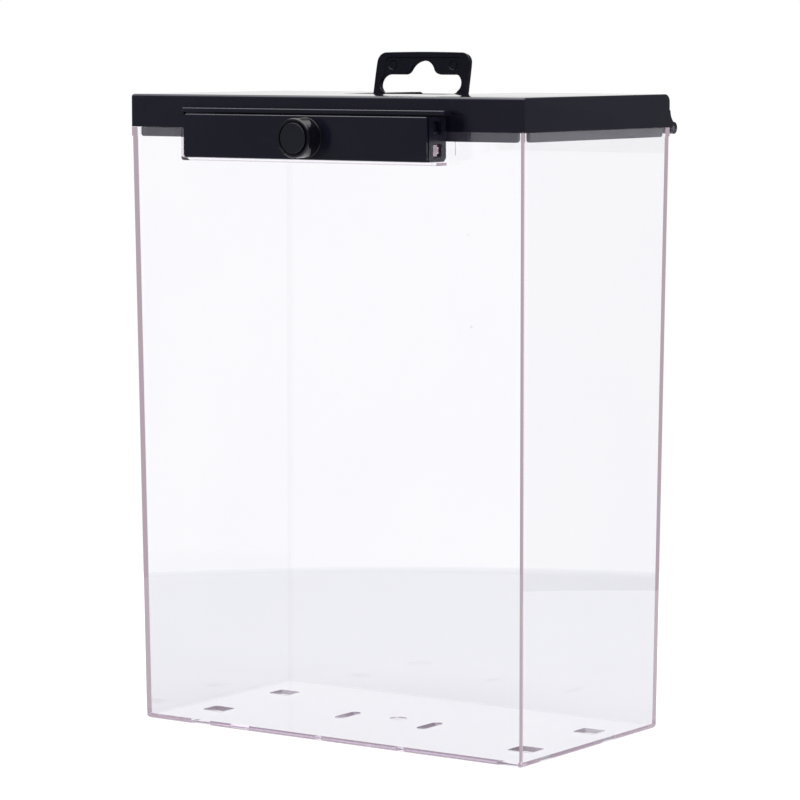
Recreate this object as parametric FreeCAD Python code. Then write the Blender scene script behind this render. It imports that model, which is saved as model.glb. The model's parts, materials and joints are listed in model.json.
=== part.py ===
import FreeCAD, Part
import math
import os

# Clear locking display case: a drafted tub, a hinged lid with a folding hang tab,
# and a sliding lock bar across the front. Millimetres, +Z up, +Y to the rear.
# The origin is the centre of the tub's underside.

# Tub
base_width = 153.8
base_depth = 83.4
rim_width = 157.6
rim_depth = 89.0
tub_height = 202.8
wall = 1.6
floor = 1.7
corner_radius = 0.4
base_edge_radius = 1.5
rim_flange_height = 3.0
rim_flange_proud = 0.3

# Holes in the tub's floor, and the gate mark at its centre
square_hole_x = 8.4
square_hole_y = 8.0
square_hole_radius = 1.0
square_hole_pitch_x = 125.8
square_hole_pitch_y = 38.0
square_hole_shift_x = 1.6
square_hole_shift_y = -1.6
long_hole_width = 4.0
long_hole_length = 12.6
long_hole_pitch = 34.0
long_hole_shift_x = -0.9
long_hole_shift_y = -4.6
gate_radius = 3.0
gate_depth = 0.3

# Lid
lid_height = 11.0
lid_seat_gap = 0.1
lid_top = 2.0
skirt = 1.8
lid_front_radius = 1.1
lid_rear_radius = 2.6
lid_corner_radius = 0.7
plug_depth = 3.2
plug_thickness = 1.4
plug_clearance = 0.3
plug_corner_gap = 1.4
plug_front_gap = 3.4
plug_tip_radius = 1.0

# Rear hinge
hinge_offset = 2.4
hinge_drop = 0.2
barrel_radius = 2.0
pin_radius = 0.9
pin_fixed_clearance = 0.02
pin_running_clearance = 0.05
pin_end_inset = 0.2
end_barrel_length = 21.0
centre_barrel_length = 28.0
barrel_gap = 0.3
flare_height = 5.6
flare_turn = 39.0
flare_bow_out = 0.45
flare_bow_up = 0.36

# Hang tab and the bay it folds into
tab_width = 37.8
tab_length = 15.3
tab_crown = 0.3
tab_thickness = 2.0
tab_corner_radius = 3.4
tab_lean = 12.0
tab_pivot_y = 12.6
tab_pivot_depth = 1.4
tab_bar_radius = 1.2
tab_pin_radius = 0.7
tab_pin_grip = 3.0
tab_panel_depth = 0.3
tab_panel_border = 1.7
tab_panel_side = 3.6
tab_panel_radius = 1.4
tab_mark_radius = 1.6
tab_mark_depth = 0.1
tab_mark_spread = 24.8
tab_mark_height = 11.0
slot_width = 33.2
slot_top = 8.0
hump_top = 12.7
hump_radius = 5.2
hump_flank = 25.0
hump_fillet = 2.6
bay_depth = 2.9
bay_floor = 2.0
bay_wall = 1.6
bay_side_clearance = 1.6
bay_end_clearance = 0.9
bay_trough_clearance = 0.35

# Lock bar
lock_length = 97.4
lock_height = 14.3
lock_depth = 11.2
lock_shift = 1.25
lock_drop = 2.25
lock_gap = 0.5
lock_travel = 6.5
lock_back = 2.6
lock_chamfer = 1.2
lock_corner_radius = 1.1
cover_thickness = 0.9
cover_edge_radius = 0.4
seam_width = 0.8
seam_depth = 0.5
channel_depth = 4.6
channel_height = 4.2
channel_offset = 3.6
channel_corner_radius = 0.5
end_web = 1.2
rail_clearance = 0.3
neck = 1.4
hook_width = 6.0
hook_pitch = 27.0
hook_count = 4
hook_end_wall = 1.5
rail_end_inset = 0.5

# What carries the lock bar on the tub, and what covers it on the lid
shelf_gap = 0.35
shelf_thickness = 0.9
shelf_depth = 5.4
shelf_inset = 0.4
stop_gap = 4.9
stop_thickness = 1.0
stop_corner_radius = 1.2
pad_drop = 7.4
pad_overrun = 3.1
recess_width = 113.0
recess_depth = 0.8
recess_above = 1.0
canopy_width = 105.6
canopy_shift = -1.1
canopy_depth = 5.1
canopy_thickness = 1.4
canopy_gap = 0.5
canopy_radius = 1.2
canopy_edge_radius = 0.4
canopy_bite = 0.45

# Boss with the magnetic plunger
boss_radius = 6.45
boss_length = 6.4
boss_offset = 1.15
boss_edge_radius = 0.7
boss_chamber_radius = 3.6
boss_groove_radius = 5.5
boss_groove_depth = 0.8
boss_fit = 0.03
cap_radius = 4.95
cap_proud = 0.3
cap_seat_depth = 1.6
cap_edge_chamfer = 0.3
guide_radius = 5.0
guide_length = 1.2
plunger_radius = 1.0
plunger_clearance = 0.05
plunger_head_radius = 3.2
plunger_head = 1.2
plunger_tip_chamfer = 0.35
plunger_drop = 1.2
plunger_tip_gap = 0.3
plunger_end_gap = 0.1
keeper_radius = 1.3
keeper_depth = 1.5
spring_wire = 0.3
spring_radius = 2.3
spring_turns = 2
arcs_per_turn = 4
spring_end_gap = 0.05

# Screws in the lock bar
lock_screw_spread = 56.0
lock_screw_radius = 0.7
lock_screw_head_radius = 1.25
lock_screw_head = 1.0
lock_screw_reach = 8.4
post_radius = 1.1
post_length = 4.0
screw_fit = 0.02
screw_slack = 0.1
screw_slot_width = 0.4
screw_slot_depth = 0.4

# Alarm label and its compartment under the lid's top
label_length = 45.0
label_width = 10.8
label_y = -17.0
label_room = 0.3
label_wall = 1.5
adhesive_thickness = 0.25
tray_height = 1.5
tray_wall = 0.7
tray_roof = 0.6
strip_length = 38.0
strip_width = 6.0
strip_thickness = 0.15
strip_count = 2
film_thickness = 0.2
magnet_length = 40.0
magnet_width = 7.0
magnet_thickness = 0.3
cover_plate = 1.2
cover_screw_offset = 3.0
cover_boss_radius = 2.4
cover_screw_radius = 0.9
cover_screw_head_radius = 2.0
cover_screw_head = 1.2
cover_screw_reach = 2.0

# Reach of cutting tools past a face, and the slack of position and direction tests
overcut = 1.0
near = 0.001

# Places that several pieces share
lid_bottom = tub_height + lid_seat_gap
lid_face = lid_bottom + lid_height
lid_half_x = rim_width / 2 + rim_flange_proud
lid_half_y = rim_depth / 2 + rim_flange_proud
inner_half_x = rim_width / 2 - wall
inner_half_y = rim_depth / 2 - wall
hinge_y = lid_half_y + hinge_offset
hinge_z = tub_height - hinge_drop
tab_pivot_z = lid_face - tab_pivot_depth
lock_left = lock_shift - lock_length / 2
lock_right = lock_shift + lock_length / 2
lock_z = tub_height - lock_drop
lock_bottom = lock_z - lock_height / 2
lock_ceiling = lock_z + lock_height / 2
lock_rear = -(lid_half_y + lock_gap)
lock_front = lock_rear - lock_depth
cover_back = lock_front + cover_thickness
channel_rear = lock_rear - lock_back
channel_front = channel_rear - channel_depth
rail_z = lock_z - channel_offset
hook_z = lock_z + channel_offset
last_hook_x = lock_right - hook_end_wall - rail_clearance - hook_width / 2
hook_centres = [last_hook_x - i * hook_pitch for i in range(hook_count)]
screw_places = [lock_shift - lock_screw_spread / 2, lock_shift + lock_screw_spread / 2]
boss_x = lock_shift + boss_offset
boss_front = lock_front - boss_length
cap_seat = boss_front + cap_seat_depth
guide_front = cover_back - guide_length
head_rear = guide_front - plunger_drop - plunger_end_gap
head_front = head_rear - plunger_head
plunger_tip = -(lid_half_y + plunger_tip_gap)
label_ceiling = lid_face - lid_top
tray_top = label_ceiling - adhesive_thickness
film_top = tray_top - tray_height
magnet_top = film_top - film_thickness
cover_top = magnet_top - magnet_thickness
cover_bottom = cover_top - cover_plate
cover_screw_x = label_length / 2 + label_room + label_wall + cover_screw_offset


def vec(x, y, z):
    return FreeCAD.Vector(x, y, z)


width_axis = vec(1, 0, 0)
depth_axis = vec(0, 1, 0)
up_axis = vec(0, 0, 1)
quarter_turn = math.degrees(math.pi / 2)


def block(x0, x1, y0, y1, z0, z1):
    return Part.makeBox(x1 - x0, y1 - y0, z1 - z0, vec(x0, y0, z0))


def rod_x(x0, x1, y, z, radius):
    return Part.makeCylinder(radius, x1 - x0, vec(x0, y, z), width_axis)


def rod_y(y0, y1, x, z, radius):
    return Part.makeCylinder(radius, y1 - y0, vec(x, y0, z), depth_axis)


def rod_z(z0, z1, x, y, radius):
    return Part.makeCylinder(radius, z1 - z0, vec(x, y, z0), up_axis)


def edges_where(shape, test):
    return [edge for edge in shape.Edges if test(edge)]


def along(edge, axis):
    step = edge.Vertexes[-1].Point - edge.Vertexes[0].Point
    return step.Length > near and step.cross(axis).Length < near


def frustum(low_x, low_y, low_z, high_x, high_y, high_z):
    """A box whose lower and upper rectangles have different half sizes."""
    signs = [(-1, -1), (1, -1), (1, 1), (-1, 1)]
    low = [vec(a * low_x, b * low_y, low_z) for a, b in signs]
    high = [vec(a * high_x, b * high_y, high_z) for a, b in signs]
    rings = [low[::-1], high]
    for i in range(len(signs)):
        j = (i + 1) % len(signs)
        rings.append([low[i], low[j], high[j], high[i]])
    faces = [Part.Face(Part.makePolygon(ring + ring[:1])) for ring in rings]
    return Part.Solid(Part.makeShell(faces))


def wall_half_y(z):
    return base_depth / 2 + (rim_depth - base_depth) / 2 * z / tub_height


def wall_half_x(z):
    return base_width / 2 + (rim_width - base_width) / 2 * z / tub_height


def round_upright(shape, radius):
    """Round the four uprights of a box or frustum."""
    level = shape.BoundBox.ZLength
    uprights = edges_where(shape, lambda e: abs(e.Vertexes[0].Z - e.Vertexes[-1].Z) > level / 2)
    return shape.makeFillet(radius, uprights)


def channel_bar(x0, x1, root_y, z):
    """A T section: a neck from root_y and a head that fills a channel of the lock bar."""
    head_half = channel_height / 2 - rail_clearance
    head_rear_y = channel_rear - rail_clearance
    head = block(x0, x1, channel_front + rail_clearance, head_rear_y, z - head_half, z + head_half)
    stem = block(x0, x1, head_rear_y, root_y, z - neck / 2, z + neck / 2)
    return head.fuse(stem)


def make_tub():
    outer = frustum(base_width / 2, base_depth / 2, 0, rim_width / 2, rim_depth / 2, tub_height)
    outer = outer.makeFillet(base_edge_radius, edges_where(outer, lambda e: e.BoundBox.ZMax < near))
    outer = round_upright(outer, corner_radius)
    inside = frustum(wall_half_x(floor) - wall, wall_half_y(floor) - wall, floor,
                     inner_half_x, inner_half_y, tub_height)
    flange_low = tub_height - rim_flange_height
    flange = block(-lid_half_x, lid_half_x, -lid_half_y, lid_half_y, flange_low, tub_height)
    flange = round_upright(flange, corner_radius + rim_flange_proud)

    # Pad, T rail, shelf and end stop for the lock bar
    pad_left = lock_left - stop_gap - stop_thickness
    pad_right = lock_right + pad_overrun
    pad_low = tub_height - pad_drop
    pad_root = -(wall_half_y(pad_low) - wall / 2)
    pad = block(pad_left, pad_right, -lid_half_y, pad_root, pad_low, tub_height)
    rail = channel_bar(lock_left + rail_end_inset, lock_right - end_web - rail_clearance, pad_root, rail_z)
    shelf_top = lock_bottom - shelf_gap
    shelf_low = shelf_top - shelf_thickness
    shelf_root = -(wall_half_y(shelf_low) - wall / 2)
    shelf_front = -(lid_half_y + shelf_depth)
    shelf = block(pad_left, lock_right - shelf_inset, shelf_front, shelf_root, shelf_low, shelf_top)
    stop = block(pad_left, pad_left + stop_thickness, shelf_front, shelf_root, shelf_low, tub_height)
    ledge = shelf.fuse(stop).removeSplitter()
    outer_corner = edges_where(ledge, lambda e: along(e, depth_axis)
                               and abs(e.Vertexes[0].X - pad_left) < near
                               and abs(e.Vertexes[0].Z - shelf_low) < near)
    ledge = ledge.makeFillet(stop_corner_radius, outer_corner)

    body = outer.fuse([flange, pad])
    body = body.cut(inside).fuse([rail, ledge])
    for lug in hinge_lugs():
        body = body.fuse(lug)

    # Keeper holes where the plunger drops in, at both ends of the bar's travel
    for x in (boss_x, boss_x + lock_travel):
        body = body.cut(rod_y(-lid_half_y - overcut, -lid_half_y + keeper_depth, x, lock_z, keeper_radius))

    # Gate mark and holes in the floor
    body = body.cut(rod_z(floor - gate_depth, floor + overcut, 0, 0, gate_radius))
    for side_x in (-1, 1):
        for side_y in (-1, 1):
            x = square_hole_shift_x + side_x * square_hole_pitch_x / 2
            y = square_hole_shift_y + side_y * square_hole_pitch_y / 2
            hole = block(x - square_hole_x / 2, x + square_hole_x / 2,
                         y - square_hole_y / 2, y + square_hole_y / 2, -overcut, floor + overcut)
            body = body.cut(round_upright(hole, square_hole_radius))
        x = long_hole_shift_x + side_x * long_hole_pitch / 2
        reach = (long_hole_length - long_hole_width) / 2
        hole = block(x - long_hole_width / 2, x + long_hole_width / 2,
                     long_hole_shift_y - reach, long_hole_shift_y + reach, -overcut, floor + overcut)
        for end in (-reach, reach):
            hole = hole.fuse(rod_z(-overcut, floor + overcut, x, long_hole_shift_y + end,
                                    long_hole_width / 2))
        body = body.cut(hole)
    return body.removeSplitter()


def barrel_spans():
    """X spans of the lid's end and centre barrels, and of the tub's lugs between them."""
    end_inner = lid_half_x - end_barrel_length
    centre = centre_barrel_length / 2
    lid_spans = [(-lid_half_x, -end_inner), (-centre, centre), (end_inner, lid_half_x)]
    tub_spans = [(-end_inner + barrel_gap, -centre - barrel_gap),
                 (centre + barrel_gap, end_inner - barrel_gap)]
    return lid_spans, tub_spans


def hinge_lugs():
    lugs = []
    for x0, x1 in barrel_spans()[1]:
        low = tub_height - rim_flange_height
        root = lid_half_y - wall / 2
        web = Part.makePolygon([vec(x0, root, low), vec(x0, lid_half_y, low),
                                vec(x0, hinge_y, hinge_z - barrel_radius), vec(x0, hinge_y, hinge_z),
                                vec(x0, root, hinge_z), vec(x0, root, low)])
        lug = Part.Face(web).extrude(vec(x1 - x0, 0, 0))
        lug = lug.fuse(rod_x(x0, x1, hinge_y, hinge_z, barrel_radius))
        lugs.append(lug.cut(rod_x(x0, x1, hinge_y, hinge_z, pin_radius + pin_fixed_clearance)))
    return lugs


def lid_barrels():
    """Barrels that flare out of the lid's rear skirt and wrap the pin."""
    barrels = []
    turn = math.radians(flare_turn)
    rim_y = hinge_y + barrel_radius * math.cos(turn)
    rim_z = hinge_z + barrel_radius * math.sin(turn)
    root = lid_half_y - skirt / 2
    flare_top = lid_bottom + flare_height
    for x0, x1 in barrel_spans()[0]:
        middle = vec(x0, lid_half_y + hinge_offset * flare_bow_out,
                     rim_z + (flare_top - rim_z) * flare_bow_up)
        flare = Part.Arc(vec(x0, rim_y, rim_z), middle, vec(x0, lid_half_y, flare_top)).toShape()
        rest = Part.makePolygon([vec(x0, lid_half_y, flare_top), vec(x0, root, flare_top),
                                 vec(x0, root, lid_bottom), vec(x0, hinge_y, lid_bottom),
                                 vec(x0, rim_y, rim_z)])
        web = Part.Face(Part.Wire([flare] + rest.Edges)).extrude(vec(x1 - x0, 0, 0))
        barrels.append(web.fuse(rod_x(x0, x1, hinge_y, hinge_z, barrel_radius)))
    return barrels


def plug_rib(start, end, half_depth):
    """One straight rib along X that hangs inside the tub's front wall, with rounded tips."""
    low = lid_bottom - plug_depth
    inner = half_depth - plug_clearance - plug_thickness
    lower = block(start, end, -half_depth + plug_clearance, -inner, low, lid_bottom)
    tips = edges_where(lower, lambda e: along(e, depth_axis) and e.BoundBox.ZMax < low + near)
    lower = lower.makeFillet(plug_tip_radius, tips)
    root = half_depth + wall - skirt / 2
    upper = block(start, end, -root, -inner, lid_bottom, lid_face - lid_top / 2)
    return lower.fuse(upper)


def lid_profile(x):
    """The lid seen from its end: a small radius at the front, a larger one at the rear."""
    bend = 1 - math.sqrt(0.5)
    front, rear = lid_front_radius, lid_rear_radius
    corners = [vec(x, -lid_half_y, lid_bottom), vec(x, -lid_half_y, lid_face - front),
               vec(x, -lid_half_y + front, lid_face), vec(x, lid_half_y - rear, lid_face),
               vec(x, lid_half_y, lid_face - rear), vec(x, lid_half_y, lid_bottom)]
    front_mid = vec(x, -lid_half_y + front * bend, lid_face - front * bend)
    rear_mid = vec(x, lid_half_y - rear * bend, lid_face - rear * bend)
    return Part.Wire([Part.makeLine(corners[0], corners[1]),
                      Part.Arc(corners[1], front_mid, corners[2]).toShape(),
                      Part.makeLine(corners[2], corners[3]),
                      Part.Arc(corners[3], rear_mid, corners[4]).toShape(),
                      Part.makeLine(corners[4], corners[5]),
                      Part.makeLine(corners[5], corners[0])])


def make_lid():
    side = lid_profile(-lid_half_x)
    shell = Part.Face(side).extrude(vec(2 * lid_half_x, 0, 0))
    ends = edges_where(shell, lambda e: abs(abs(e.CenterOfMass.x) - lid_half_x) < near
                       and e.CenterOfMass.z > lid_bottom + near)
    shell = shell.makeFillet(lid_corner_radius, ends)
    cavity = block(-lid_half_x + skirt, lid_half_x - skirt, -lid_half_y + skirt, lid_half_y - skirt,
                   lid_bottom, lid_face - lid_top)
    body = shell.cut(cavity)

    # Plug ribs that hang inside the tub's walls, with gaps at the corners
    front_reach = inner_half_x - plug_corner_gap
    side_front = inner_half_y - plug_front_gap
    side_rear = inner_half_y - plug_corner_gap
    right_rib = plug_rib(-side_front, side_rear, inner_half_x)
    right_rib.rotate(vec(0, 0, 0), up_axis, quarter_turn)
    left_rib = plug_rib(-side_rear, side_front, inner_half_x)
    left_rib.rotate(vec(0, 0, 0), up_axis, -quarter_turn)
    body = body.fuse([plug_rib(-front_reach, front_reach, inner_half_y), right_rib, left_rib])

    # Bay for the folded tab, open to the rear
    bay_half = tab_width / 2 + bay_side_clearance
    bay_front = tab_pivot_y - tab_length - bay_end_clearance
    bay_bottom = lid_face - bay_depth
    body = body.fuse(block(-bay_half - bay_wall, bay_half + bay_wall, bay_front - bay_wall,
                           lid_half_y - skirt / 2, bay_bottom - bay_floor, lid_face - lid_top / 2))
    grip = bay_half + tab_pin_grip
    ear = tab_pin_radius + bay_wall
    body = body.fuse(block(-grip - bay_wall, grip + bay_wall, tab_pivot_y - ear, tab_pivot_y + ear,
                           bay_bottom - bay_floor, lid_face - lid_top / 2))
    bay = block(-bay_half, bay_half, bay_front, lid_half_y + overcut, bay_bottom, lid_face + overcut)
    trough = rod_x(-bay_half, bay_half, tab_pivot_y, tab_pivot_z, tab_bar_radius + bay_trough_clearance)
    body = body.cut(bay.fuse(trough))
    body = body.cut(rod_x(-grip, grip, tab_pivot_y, tab_pivot_z, tab_pin_radius + pin_fixed_clearance))

    # Recess behind the lock bar, canopy over it, and the hooks that the bar catches
    recess_top = lock_ceiling + recess_above
    recess_face = -lid_half_y + recess_depth
    body = body.cut(block(-recess_width / 2, recess_width / 2, -lid_half_y - overcut, recess_face,
                          lid_bottom - overcut, recess_top))
    canopy_low = lock_ceiling + canopy_gap
    canopy_root = recess_face + canopy_bite
    canopy = block(canopy_shift - canopy_width / 2, canopy_shift + canopy_width / 2,
                   -lid_half_y - canopy_depth, canopy_root, canopy_low, canopy_low + canopy_thickness)
    corners = edges_where(canopy, lambda e: along(e, up_axis)
                          and e.BoundBox.YMax < -lid_half_y)
    canopy = canopy.makeFillet(canopy_radius, corners)
    brow = edges_where(canopy, lambda e: e.BoundBox.ZMin > canopy_low + canopy_thickness - near
                       and e.CenterOfMass.y < canopy_root - near)
    body = body.fuse(canopy.makeFillet(canopy_edge_radius, brow))
    for x in hook_centres:
        body = body.fuse(channel_bar(x - hook_width / 2, x + hook_width / 2, canopy_root, hook_z))

    # Compartment walls and screw bosses for the alarm label
    room_x = label_length / 2 + label_room
    room_y = label_width / 2 + label_room
    wall_box = block(-room_x - label_wall, room_x + label_wall, label_y - room_y - label_wall,
                     label_y + room_y + label_wall, cover_top, label_ceiling)
    wall_box = wall_box.cut(block(-room_x, room_x, label_y - room_y, label_y + room_y,
                                  cover_top, label_ceiling))
    body = body.fuse(wall_box)
    for x in (-cover_screw_x, cover_screw_x):
        body = body.fuse(rod_z(cover_top, label_ceiling, x, label_y, cover_boss_radius))
        body = body.cut(rod_z(cover_top - overcut, cover_top + cover_screw_reach, x, label_y,
                              cover_screw_radius + screw_fit))

    body = body.fuse(lid_barrels())
    body = body.cut(rod_x(-lid_half_x - overcut, lid_half_x + overcut, hinge_y, hinge_z,
                          pin_radius + pin_running_clearance))
    return body.removeSplitter()


def make_hinge_pin():
    return rod_x(-lid_half_x + pin_end_inset, lid_half_x - pin_end_inset, hinge_y, hinge_z, pin_radius)


def make_hang_tab():
    """The tab is drawn upright on its pivot axis, then leans to the rear."""
    half = tab_width / 2
    front = -tab_thickness / 2
    rear = tab_thickness / 2
    crown = Part.Arc(vec(half, front, tab_length), vec(0, front, tab_length + tab_crown),
                     vec(-half, front, tab_length)).toShape()
    sides = Part.makePolygon([vec(-half, front, tab_length), vec(-half, front, 0), vec(half, front, 0),
                              vec(half, front, tab_length)])
    plate = Part.Face(Part.Wire([crown] + sides.Edges)).extrude(vec(0, tab_thickness, 0))
    top_corners = edges_where(plate, lambda e: along(e, depth_axis) and e.BoundBox.ZMin > tab_length - near)
    plate = plate.makeFillet(tab_corner_radius, top_corners)
    panel_half = half - tab_panel_side
    panel = block(-panel_half, panel_half, front - overcut, front + tab_panel_depth,
                  tab_bar_radius, tab_length - tab_panel_border)
    panel_corners = edges_where(panel, lambda e: along(e, depth_axis)
                                and e.BoundBox.ZMin > tab_bar_radius + near)
    plate = plate.cut(panel.makeFillet(tab_panel_radius, panel_corners))
    panel_face = front + tab_panel_depth
    for x in (-tab_mark_spread / 2, tab_mark_spread / 2):
        plate = plate.cut(rod_y(front, panel_face + tab_mark_depth, x, tab_mark_height, tab_mark_radius))

    # Euro slot: rounded ends, and a hump in the middle of its upper edge
    end_radius = (slot_top - tab_bar_radius) / 2
    end_x = slot_width / 2 - end_radius
    slot_mid = tab_bar_radius + end_radius
    slot = block(-end_x, end_x, front - overcut, rear + overcut, tab_bar_radius, slot_top)
    for x in (-end_x, end_x):
        slot = slot.fuse(rod_y(front - overcut, rear + overcut, x, slot_mid, end_radius))
    hump_mid = hump_top - hump_radius
    flank = math.radians(hump_flank)
    side_x = hump_radius * math.cos(flank)
    side_z = hump_mid + hump_radius * math.sin(flank)
    base_x = side_x + (side_z - slot_top) * math.tan(flank)
    hump = Part.makePolygon([vec(-base_x, front - overcut, slot_top), vec(base_x, front - overcut, slot_top),
                             vec(side_x, front - overcut, side_z), vec(-side_x, front - overcut, side_z),
                             vec(-base_x, front - overcut, slot_top)])
    hump = Part.Face(hump).extrude(vec(0, tab_thickness + 2 * overcut, 0))
    hump = hump.fuse(rod_y(front - overcut, rear + overcut, 0, hump_mid, hump_radius))
    plate = plate.cut(slot.fuse(hump)).removeSplitter()
    shoulders = edges_where(plate, lambda e: along(e, depth_axis)
                            and abs(e.Vertexes[0].Z - slot_top) < near
                            and abs(abs(e.Vertexes[0].X) - base_x) < near)
    plate = plate.makeFillet(hump_fillet, shoulders)

    tab = plate.fuse(rod_x(-half, half, 0, 0, tab_bar_radius))
    tab = tab.cut(rod_x(-half, half, 0, 0, tab_pin_radius + pin_running_clearance)).removeSplitter()
    tab.rotate(vec(0, 0, 0), vec(1, 0, 0), -tab_lean)
    tab.translate(vec(0, tab_pivot_y, tab_pivot_z))
    return tab


def make_hang_tab_pin():
    grip = tab_width / 2 + bay_side_clearance + tab_pin_grip - pin_end_inset
    return rod_x(-grip, grip, tab_pivot_y, tab_pivot_z, tab_pin_radius)


def lock_outline(y0, y1, inset):
    """The bar's rounded front outline, between two Y planes, drawn in by inset."""
    plate = block(lock_left + inset, lock_right - inset, y0, y1, lock_bottom + inset, lock_ceiling - inset)
    left_corners = edges_where(plate, lambda e: along(e, depth_axis)
                               and e.BoundBox.XMax < lock_left + inset + near)
    return plate.makeFillet(lock_corner_radius, left_corners)


def make_lock_housing():
    seam_rear = cover_back + seam_width
    body = lock_outline(seam_rear, lock_rear, 0)
    corner = vec(lock_left, lock_rear, lock_bottom)
    bevel = Part.makePolygon([corner, corner - vec(0, lock_chamfer, 0),
                              corner + vec(0, 0, lock_chamfer), corner])
    body = body.cut(Part.Face(bevel).extrude(vec(lock_length, 0, 0)))
    body = body.fuse(lock_outline(cover_back, seam_rear, seam_depth))
    slot_half = neck / 2 + rail_clearance
    for z in (rail_z, hook_z):
        channel = block(lock_left, lock_right, channel_front, channel_rear,
                        z - channel_height / 2, z + channel_height / 2)
        corners = edges_where(channel, lambda e: along(e, width_axis))
        channel = channel.makeFillet(channel_corner_radius, corners)
        body = body.cut(channel)
        body = body.cut(block(lock_left, lock_right - end_web, channel_rear, lock_rear,
                              z - slot_half, z + slot_half))
    for x in hook_centres:
        room = hook_width / 2 + rail_clearance
        body = body.cut(block(x - room, x + room, channel_front, lock_rear,
                              hook_z - channel_height / 2, lock_ceiling))
    body = body.cut(rod_y(cover_back, lock_rear, boss_x, lock_z, plunger_radius + plunger_clearance))
    for x in screw_places:
        body = body.cut(rod_y(cover_back, lock_rear, x, lock_z, lock_screw_radius + screw_slack))
        body = body.cut(rod_y(cover_back, cover_back + post_length, x, lock_z, post_radius + screw_fit))
        body = body.cut(rod_y(lock_rear - lock_screw_head, lock_rear, x, lock_z,
                              lock_screw_head_radius + screw_slack))
    return body.removeSplitter()


def make_lock_cover():
    plate = lock_outline(lock_front, cover_back, 0)
    front = edges_where(plate, lambda e: e.BoundBox.YMax < lock_front + near)
    plate = plate.makeFillet(cover_edge_radius, front)
    plate = plate.cut(rod_y(lock_front, cover_back, boss_x, lock_z, boss_radius + boss_fit))
    for x in screw_places:
        post = rod_y(cover_back, cover_back + post_length, x, lock_z, post_radius)
        plate = plate.fuse(post)
        plate = plate.cut(rod_y(cover_back, cover_back + post_length, x, lock_z,
                                lock_screw_radius + screw_fit))
    return plate.removeSplitter()


def make_lock_screws():
    screws = []
    for x in screw_places:
        tip = lock_rear - lock_screw_head - lock_screw_reach
        screw = rod_y(tip, lock_rear - lock_screw_head, x, lock_z, lock_screw_radius)
        head = rod_y(lock_rear - lock_screw_head, lock_rear, x, lock_z, lock_screw_head_radius)
        slot = block(x - lock_screw_head_radius, x + lock_screw_head_radius,
                     lock_rear - screw_slot_depth, lock_rear,
                     lock_z - screw_slot_width / 2, lock_z + screw_slot_width / 2)
        screws.append(screw.fuse(head.cut(slot)).removeSplitter())
    return Part.makeCompound(screws)


def make_boss_sleeve():
    sleeve = rod_y(boss_front, cover_back, boss_x, lock_z, boss_radius)
    rim = edges_where(sleeve, lambda e: e.BoundBox.YMax < boss_front + near)
    sleeve = sleeve.makeFillet(boss_edge_radius, rim)
    groove_floor = boss_front + boss_groove_depth
    bores = [(guide_front, cover_back, guide_radius), (cap_seat, guide_front, boss_chamber_radius),
             (groove_floor, cap_seat, cap_radius + boss_fit), (boss_front, groove_floor, boss_groove_radius)]
    for y0, y1, radius in bores:
        sleeve = sleeve.cut(rod_y(y0, y1, boss_x, lock_z, radius))
    return sleeve


def make_boss_cap():
    cap = rod_y(boss_front - cap_proud, cap_seat, boss_x, lock_z, cap_radius)
    rim = edges_where(cap, lambda e: e.BoundBox.YMax < boss_front - cap_proud + near)
    return cap.makeChamfer(cap_edge_chamfer, rim)


def make_plunger_guide():
    guide = rod_y(guide_front, cover_back, boss_x, lock_z, guide_radius - boss_fit)
    return guide.cut(rod_y(guide_front, cover_back, boss_x, lock_z, plunger_radius + plunger_clearance))


def make_plunger():
    head = rod_y(head_front, head_rear, boss_x, lock_z, plunger_head_radius)
    stem = rod_y(head_rear, plunger_tip, boss_x, lock_z, plunger_radius)
    tip = edges_where(stem, lambda e: e.BoundBox.YMin > plunger_tip - near)
    return head.fuse(stem.makeChamfer(plunger_tip_chamfer, tip))


def make_plunger_spring():
    """One wire wound on short arcs, from the plunger's head to the cap."""
    start = head_front - spring_end_gap - spring_wire / 2
    end = cap_seat + spring_end_gap + spring_wire / 2
    steps = spring_turns * arcs_per_turn

    def on_helix(step):
        angle = 2 * math.pi * step / arcs_per_turn
        return vec(boss_x + spring_radius * math.cos(angle), start + (end - start) * step / steps,
                   lock_z + spring_radius * math.sin(angle))

    arcs = [Part.Arc(on_helix(i), on_helix(i + 0.5), on_helix(i + 1)).toShape() for i in range(steps)]
    path = Part.Wire(arcs)
    heading = arcs[0].tangentAt(arcs[0].FirstParameter)
    section = Part.Wire(Part.Circle(on_helix(0), heading, spring_wire / 2).toShape())
    coil = path.makePipeShell([section], True, False)
    gap = abs(end - start) / spring_turns - spring_wire
    print("plunger spring: valid", coil.isValid(), "least gap between turns", round(gap, 3),
          "volume share", round(coil.Volume / (math.pi * spring_wire ** 2 / 4 * path.Length), 4))
    return coil


def label_layer(length, width, z0, z1):
    return block(-length / 2, length / 2, label_y - width / 2, label_y + width / 2, z0, z1)


def make_label_tray():
    tray = label_layer(label_length, label_width, film_top, tray_top)
    return tray.cut(label_layer(label_length - 2 * tray_wall, label_width - 2 * tray_wall,
                                film_top, tray_top - tray_roof))


def make_label_strips():
    strips = []
    for i in range(strip_count):
        low = film_top + i * strip_thickness
        strips.append(label_layer(strip_length, strip_width, low, low + strip_thickness))
    return Part.makeCompound(strips)


def make_label_cover():
    reach = cover_screw_x + cover_boss_radius
    deep = label_width / 2 + label_room + label_wall
    plate = block(-reach, reach, label_y - deep, label_y + deep, cover_bottom, cover_top)
    plate = round_upright(plate, cover_boss_radius)
    for x in (-cover_screw_x, cover_screw_x):
        plate = plate.cut(rod_z(cover_bottom, cover_top, x, label_y, cover_screw_radius + screw_slack))
    return plate


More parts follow.
